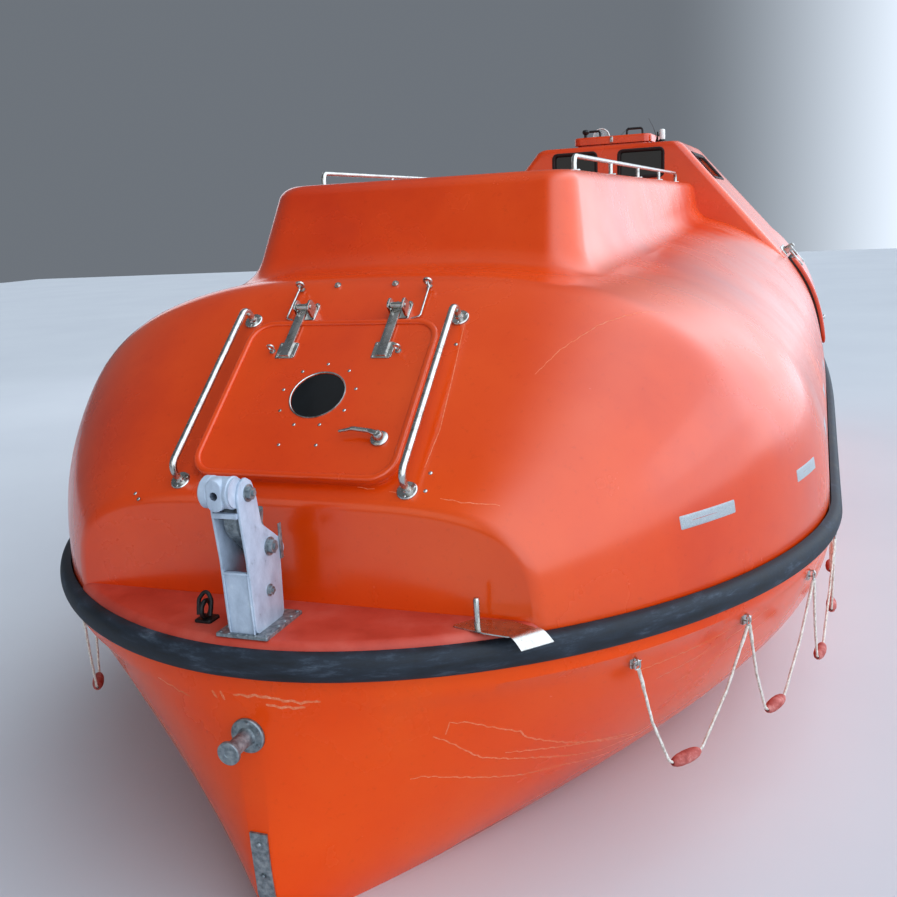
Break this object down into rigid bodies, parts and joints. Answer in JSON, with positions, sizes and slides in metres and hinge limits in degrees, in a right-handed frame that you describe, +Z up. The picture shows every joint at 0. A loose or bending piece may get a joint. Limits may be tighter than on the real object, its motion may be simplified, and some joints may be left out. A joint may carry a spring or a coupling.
{
  "type": "enclosed lifeboat",
  "caption": "Totally enclosed orange lifeboat with a rubber fender, bow hatch, side doors, roof trunk with rails, raised wheelhouse and a lifting hook at each end",
  "frame": {"origin": "on the centreline amidships, at the design waterline", "axes": "+Z up, -Y is the bow, +X is port"},
  "size_m": [3.3988, 8.8733, 3.4323],
  "materials": {
    "orange_grp": "glossy moulded glass-fibre plastic in international orange",
    "fender_rubber": "dull black rubber, scuffed",
    "dark_glass": "dark tinted safety glass",
    "hook_paint": "light blue-grey paint on steel plate",
    "galvanised": "weathered hot-dip galvanised steel",
    "black_steel": "black paint on steel",
    "white_plastic": "smooth white plastic",
    "engine_paint": "green engine enamel",
    "bronze": "cast bronze",
    "stainless": "polished stainless steel"
  },
  "bodies": {
    "boat": {"hull": "orange_grp", "keel": "orange_grp", "stem_band": "galvanised", "fender": "fender_rubber", "foredeck": "orange_grp", "afterdeck": "orange_grp", "canopy_fore": "orange_grp", "canopy_mid": "orange_grp", "canopy_aft": "orange_grp", "wheelhouse": "orange_grp", "window_front_port": "dark_glass", "window_front_starboard": "dark_glass", "window_back": "dark_glass", "window_side_port": "dark_glass", "window_side_starboard": "dark_glass", "bow_hatch_bracket_port": "stainless", "bow_hatch_bracket_starboard": "stainless", "aft_hatch_bracket_port": "stainless", "aft_hatch_bracket_starboard": "stainless", "side_door_bracket_port": "stainless", "bow_handrail_port": "stainless", "roof_rail_port": "stainless", "side_door_bracket_starboard": "stainless", "bow_handrail_starboard": "stainless", "roof_rail_starboard": "stainless", "roof_hatch_hinge": "stainless", "fore_hook_frame": "hook_paint", "aft_hook_frame": "hook_paint", "bollard": "galvanised", "painter_eye": "black_steel", "chafe_plate": "stainless", "searchlight": "white_plastic", "beacon": "white_plastic", "engine_block": "engine_paint", "propeller_guard": "galvanised"},
    "bow_hatch_lid": {"bow_hatch": "orange_grp", "bow_hatch_window": "dark_glass", "bow_hatch_lever": "stainless", "bow_hatch_strap_port": "stainless", "bow_hatch_strap_starboard": "stainless"},
    "aft_hatch_lid": {"aft_hatch": "orange_grp", "aft_hatch_window": "dark_glass", "aft_hatch_lever": "stainless", "aft_hatch_strap_port": "stainless", "aft_hatch_strap_starboard": "stainless"},
    "side_door_leaf_port": {"side_door_port": "orange_grp", "side_door_handle_port": "stainless"},
    "side_door_leaf_starboard": {"side_door_starboard": "orange_grp", "side_door_handle_starboard": "stainless"},
    "roof_hatch_lid": {"roof_hatch": "orange_grp", "roof_hatch_handle_port": "black_steel", "roof_hatch_handle_starboard": "black_steel"},
    "fore_hook_arm": {"fore_hook": "galvanised"},
    "aft_hook_arm": {"aft_hook": "galvanised"},
    "propeller_shaft": {"propeller": "bronze"},
    "rudder_blade": {"rudder": "orange_grp"}
  },
  "joints": [
    {"name": "bow_hatch_hinge", "type": "hinge", "parent": "boat", "child": "bow_hatch_lid", "pos_m": [0, -3.44148, 1.90106], "axis": [-1, 0, 0], "range_deg": [0, 120]},
    {"name": "aft_hatch_hinge", "type": "hinge", "parent": "boat", "child": "aft_hatch_lid", "pos_m": [0, 3.17192, 2.01925], "axis": [1, 0, 0], "range_deg": [0, 120]},
    {"name": "side_door_hinge_port", "type": "hinge", "parent": "boat", "child": "side_door_leaf_port", "pos_m": [1.37006, 2.05, 1.82073], "axis": [0, -1, 0], "range_deg": [0, 100]},
    {"name": "side_door_hinge_starboard", "type": "hinge", "parent": "boat", "child": "side_door_leaf_starboard", "pos_m": [-1.37006, 2.05, 1.82073], "axis": [0, 1, 0], "range_deg": [0, 100]},
    {"name": "roof_hatch_hinge_joint", "type": "hinge", "parent": "boat", "child": "roof_hatch_lid", "pos_m": [0, 2.225, 2.72], "axis": [-1, 0, 0], "range_deg": [0, 95]},
    {"name": "fore_hook_pivot", "type": "hinge", "parent": "boat", "child": "fore_hook_arm", "pos_m": [0, -4.214, 1.259], "axis": [-1, 0, 0], "range_deg": [0, 60]},
    {"name": "aft_hook_pivot", "type": "hinge", "parent": "boat", "child": "aft_hook_arm", "pos_m": [0, 4.214, 1.259], "axis": [1, 0, 0], "range_deg": [0, 60]},
    {"name": "propeller_turn", "type": "hinge", "parent": "boat", "child": "propeller_shaft", "pos_m": [0, 3.76, -0.31], "axis": [0, 1, 0], "continuous": true},
    {"name": "rudder_stock", "type": "hinge", "parent": "boat", "child": "rudder_blade", "pos_m": [0, 4.01, 0], "axis": [0, 0, 1], "range_deg": [-35, 35]}
  ]
}
